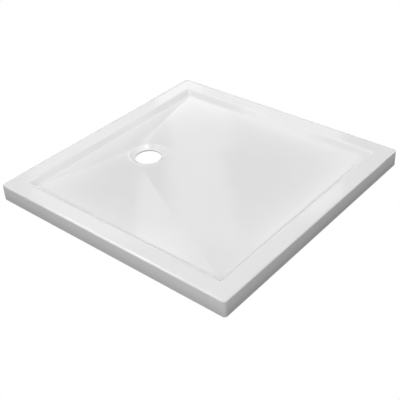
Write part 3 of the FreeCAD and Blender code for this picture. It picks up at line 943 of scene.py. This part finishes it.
    def ribbed_columns(self, radius: Points, height: Points, lift: Points | float = 0.0) -> Points:
        """Rings whose columns stand at the ribs' edges: each rib keeps its width at every radius.

        A rib's edge lies at asin(half its width / radius) from its middle line, and the columns between
        two ribs are spread evenly.

        Args:
            radius: Radius of each ring, as a column.
            height: Height of each ring, as a column.
            lift: How far each ring's recessed points are lifted, as a column.

        Returns:
            The rings.
        """
        sector = math.pi / self.recesses
        widest = self.rib_limit * math.sin(sector)
        edge = sector - np.arcsin(np.minimum(self.rib / 2.0 / radius, widest))
        slip = self.draft / radius
        spread = np.linspace(-1.0, 1.0, self.columns_to_a_recess)[None]
        local = np.concatenate([-edge - slip, spread * (edge - slip), edge + slip], axis=1)
        inside = np.array([0.0] + [1.0] * self.columns_to_a_recess + [0.0])[None]
        middles = 2.0 * sector * np.arange(self.recesses)
        angle = (middles[None, :, None] + local[:, None, :]).reshape(len(radius), -1)
        return polar_grid(radius, angle, height + lift * np.tile(inside, (1, self.recesses)))

    def ribbed_face(self) -> Points:
        """Rings of the underside, from the middle out, lifted between the ribs."""
        inner, outer, depth = self.recess
        radius = np.array([self.pad_cap, inner - self.draft, inner + self.draft, outer - self.draft,
                           outer + self.draft])[:, None]
        lift = np.array([0.0, 0.0, depth, depth, 0.0])[:, None]
        return self.ribbed_columns(radius, np.zeros_like(radius), lift)

    def inserts(self, zinc: Material) -> None:
        """The flanged inserts driven into the battens from below."""
        bore = self.thread_radius + self.thread_play
        mouth = bore + self.insert_mouth
        under = self.face - self.flange
        top = self.face + self.insert_length
        profile = rounded_profile([
            (mouth, under, 0.0), (self.flange_radius, under, self.small_round),
            (self.flange_radius, self.face, self.tiny_round), (self.insert_radius, self.face, 0.0),
            (self.insert_radius, top, self.small_round), (bore, top, 0.0),
            (bore, under, self.small_round), (mouth, under, 0.0),
        ])[:-1]
        rings = polar_grid(profile[:, :1], self.turn(), profile[:, 1:])
        self.repeat("threaded_inserts", rings, "foot_inserts", zinc)

    def nuts(self, zinc: Material) -> None:
        """The thin lock nuts, tight under the inserts' flanges."""
        top = self.face - self.flange
        bottom = top - self.nut
        bore = self.thread_radius + self.thread_play
        mouth = bore + self.nut_lead
        radius = np.array([mouth, bore, bore, mouth])[:, None]
        height = np.array([top, top - self.nut_lead, bottom + self.nut_lead, bottom])[:, None]
        rings = np.concatenate([self.hexagon(self.nut_flats, bottom, self.nut, self.nut_ends),
                                polar_grid(radius, self.turn(), height)])
        self.repeat("lock_nuts", rings, "foot_lock_nuts", zinc)

    def fit(self, name: str, part: str, place: FootPlace, rings: Points,
            finish: Material) -> None:
        """One foot's stem or pad, on its own body and in place of its own node of the frame."""
        piece = ringed_piece(f"{name}_{place.value}", rings, self.sharp_edge, [self.centre(place)], True)
        finish_piece(piece, f"{part}_{place.value}", f"foot_{part}_{place.value}", finish)

    def repeat(self, name: str, rings: Points, node: str, finish: Material) -> None:
        """One piece of eight equal rings, one at each foot, in place of a node of the frame."""
        centres = [self.centre(place) for place in FootPlace]
        piece = ringed_piece(name, rings, self.sharp_edge, centres, False)
        finish_piece(piece, "tray", node, finish)

    def build(self) -> None:
        """Zinc-plated metal pieces and black nylon pads for all eight feet."""
        zinc = ZincPlate().material()
        nylon = BlackNylon().material()
        self.inserts(zinc)
        self.nuts(zinc)
        for place in FootPlace:
            self.stem(place, zinc)
            self.pad(place, nylon)


# -------- the studio
@dataclass(frozen=True)
class SoftBox:
    """A square lamp that looks at the tray's middle, with its sizes in metres and its power in watts.

    An azimuth of 0 is behind the tray (+Y), and one of 90 on its right (+X).
    """

    name: str
    azimuth: float
    elevation: float
    power: float
    side: float = 1.3
    distance: float = 3.0

    def hang(self) -> None:
        """Hangs the lamp with its face to the tray and its top up."""
        turn, rise = math.radians(self.azimuth), math.radians(self.elevation)
        away = Vector((math.sin(turn) * math.cos(rise), math.cos(turn) * math.cos(rise), math.sin(rise)))
        name = f"{self.name}_softbox"
        lamp = bpy.data.lights.new(name, "AREA")
        lamp.shape = "SQUARE"
        lamp.size = self.side
        lamp.energy = self.power
        hung = bpy.data.objects.new(name, lamp)
        hung.location = away * self.distance
        hung.rotation_euler = away.to_track_quat("Z", "Y").to_euler()
        bpy.context.scene.collection.objects.link(hung)


@dataclass(frozen=True)
class Studio:
    """Camera, lamps, sky and the plain pale floor. Sizes are in metres and angles in degrees."""

    azimuth: float = -48.48
    elevation: float = 33.32
    roll: float = -3.155
    distance: float = 2.4984
    lens: float = 69.85
    shift: Span = (-0.0055, -0.0645)
    aim_height: float = 0.027
    floor_half: float = 30.0
    floor_height: float = -0.0002
    lamps: tuple[SoftBox, ...] = (
        SoftBox("overhead", 0.0, 89.9, 33.0, side=1.4),
        SoftBox("rear_overhead", 0.0, 65.0, 12.0, side=1.05),
        SoftBox("rear_edge", 8.0, 50.0, 6.0, side=0.8),
        SoftBox("right_overhead", 120.0, 67.0, 8.0),
        SoftBox("left_rear_high", 317.0, 45.0, 4.0, side=0.8),
        SoftBox("right_high", 112.0, 48.0, 3.0, side=0.8),
        SoftBox("left_rear", 300.0, 20.0, 14.0),
        SoftBox("left_front", 240.0, 20.0, 27.0),
        SoftBox("front", 180.0, 33.0, 4.5),
        SoftBox("right", 120.0, 20.0, 11.5),
        SoftBox("right_front", 150.0, 20.0, 7.5),
        SoftBox("rear_low", 36.0, 30.0, 4.0),
        SoftBox("right_rear", 56.0, 28.0, 5.5),
    )
    ground_glow: float = 0.22
    horizon: Span = (-0.02, 0.02)

    def place_camera(self) -> None:
        """The camera stands at an azimuth and elevation about the tray, rolled a little."""
        turn, rise, roll = (math.radians(angle) for angle in (self.azimuth, self.elevation, self.roll))
        back = Vector((math.sin(turn) * math.cos(rise), -math.cos(turn) * math.cos(rise), math.sin(rise)))
        right = Vector((math.cos(turn), math.sin(turn), 0.0))
        up = back.cross(right)
        rolled_right = math.cos(roll) * right + math.sin(roll) * up
        rolled_up = back.cross(rolled_right)
        data = bpy.data.cameras.new("camera")
        data.lens = self.lens
        data.shift_x, data.shift_y = self.shift
        camera = bpy.data.objects.new("camera", data)
        stand = Vector((0.0, 0.0, self.aim_height)) + back * self.distance
        camera.matrix_world = Matrix.Translation(stand) @ Matrix(
            (rolled_right, rolled_up, back)).transposed().to_4x4()
        bpy.context.scene.collection.objects.link(camera)
        bpy.context.scene.camera = camera

    def lay_floor(self) -> None:
        """A plain pale floor, which is there for the camera alone and is clear from below."""
        reach, height = self.floor_half, self.floor_height
        points = np.array([(-reach, -reach, height), (reach, -reach, height), (reach, reach, height),
                           (-reach, reach, height)]) / MM
        floor = mesh_piece("studio_floor", points, [[0, 1, 2, 3]], sharp_degrees=180.0)
        material = bpy.data.materials.new("studio_floor_white")
        material.use_nodes = True
        tree = material.node_tree
        tree.nodes.clear()
        either = add_node(tree, "MixShader", n0=add_node(tree, "NewGeometry").outputs["Backfacing"],
                          n1=add_node(tree, "Emission").outputs[0],
                          n2=add_node(tree, "BsdfTransparent").outputs[0])
        add_node(tree, "OutputMaterial", Surface=either.outputs[0])
        floor.data.materials.append(material)
        for rays in ("diffuse", "glossy", "transmission", "shadow"):
            setattr(floor, f"visible_{rays}", False)

    def light(self) -> None:
        """Hangs the lamps and lights the sky's lower half, as light that the ground throws back.

        The camera itself sees the sky as plain white.
        """
        for lamp in self.lamps:
            lamp.hang()
        world = bpy.data.worlds.new("studio_sky")
        world.use_nodes = True
        tree = world.node_tree
        tree.nodes.clear()
        way = add_node(tree, "SeparateXYZ", Vector=add_node(tree, "TexCoord").outputs["Generated"])
        strength = add_node(tree, "MapRange", Value=way.outputs["Z"], From_Min=self.horizon[0],
                            From_Max=self.horizon[1], To_Min=self.ground_glow, To_Max=0.0)
        glow = add_node(tree, "Background", Color=WHITE, Strength=strength.outputs["Result"])
        plain = add_node(tree, "Background", Color=WHITE)
        either = add_node(tree, "MixShader", n0=add_node(tree, "LightPath").outputs["Is Camera Ray"],
                          n1=glow.outputs[0], n2=plain.outputs[0])
        add_node(tree, "OutputWorld", Surface=either.outputs[0])
        bpy.context.scene.world = world
        bpy.context.scene.view_settings.view_transform = "Standard"

    def build(self) -> None:
        """Sets the whole studio up."""
        self.place_camera()
        self.lay_floor()
        self.light()


def main() -> None:
    """Builds the tray's pieces in order, then the studio."""
    logging.basicConfig(level=logging.INFO, format="%(message)s")
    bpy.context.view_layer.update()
    _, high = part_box("acrylic_shell")
    form = TrayForm(half=high.x / MM, height=high.z / MM)
    moulded = MouldedShell(form)
    moulded.shell(GlossAcrylic().material())
    moulded.backing(GlassFibre().material())
    Underframe().dress()
    batten_low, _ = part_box("rim_batten_front")
    LevellingFeet(face=batten_low.z / MM).build()
    Studio().build()


if __name__ == "__main__":
    main()
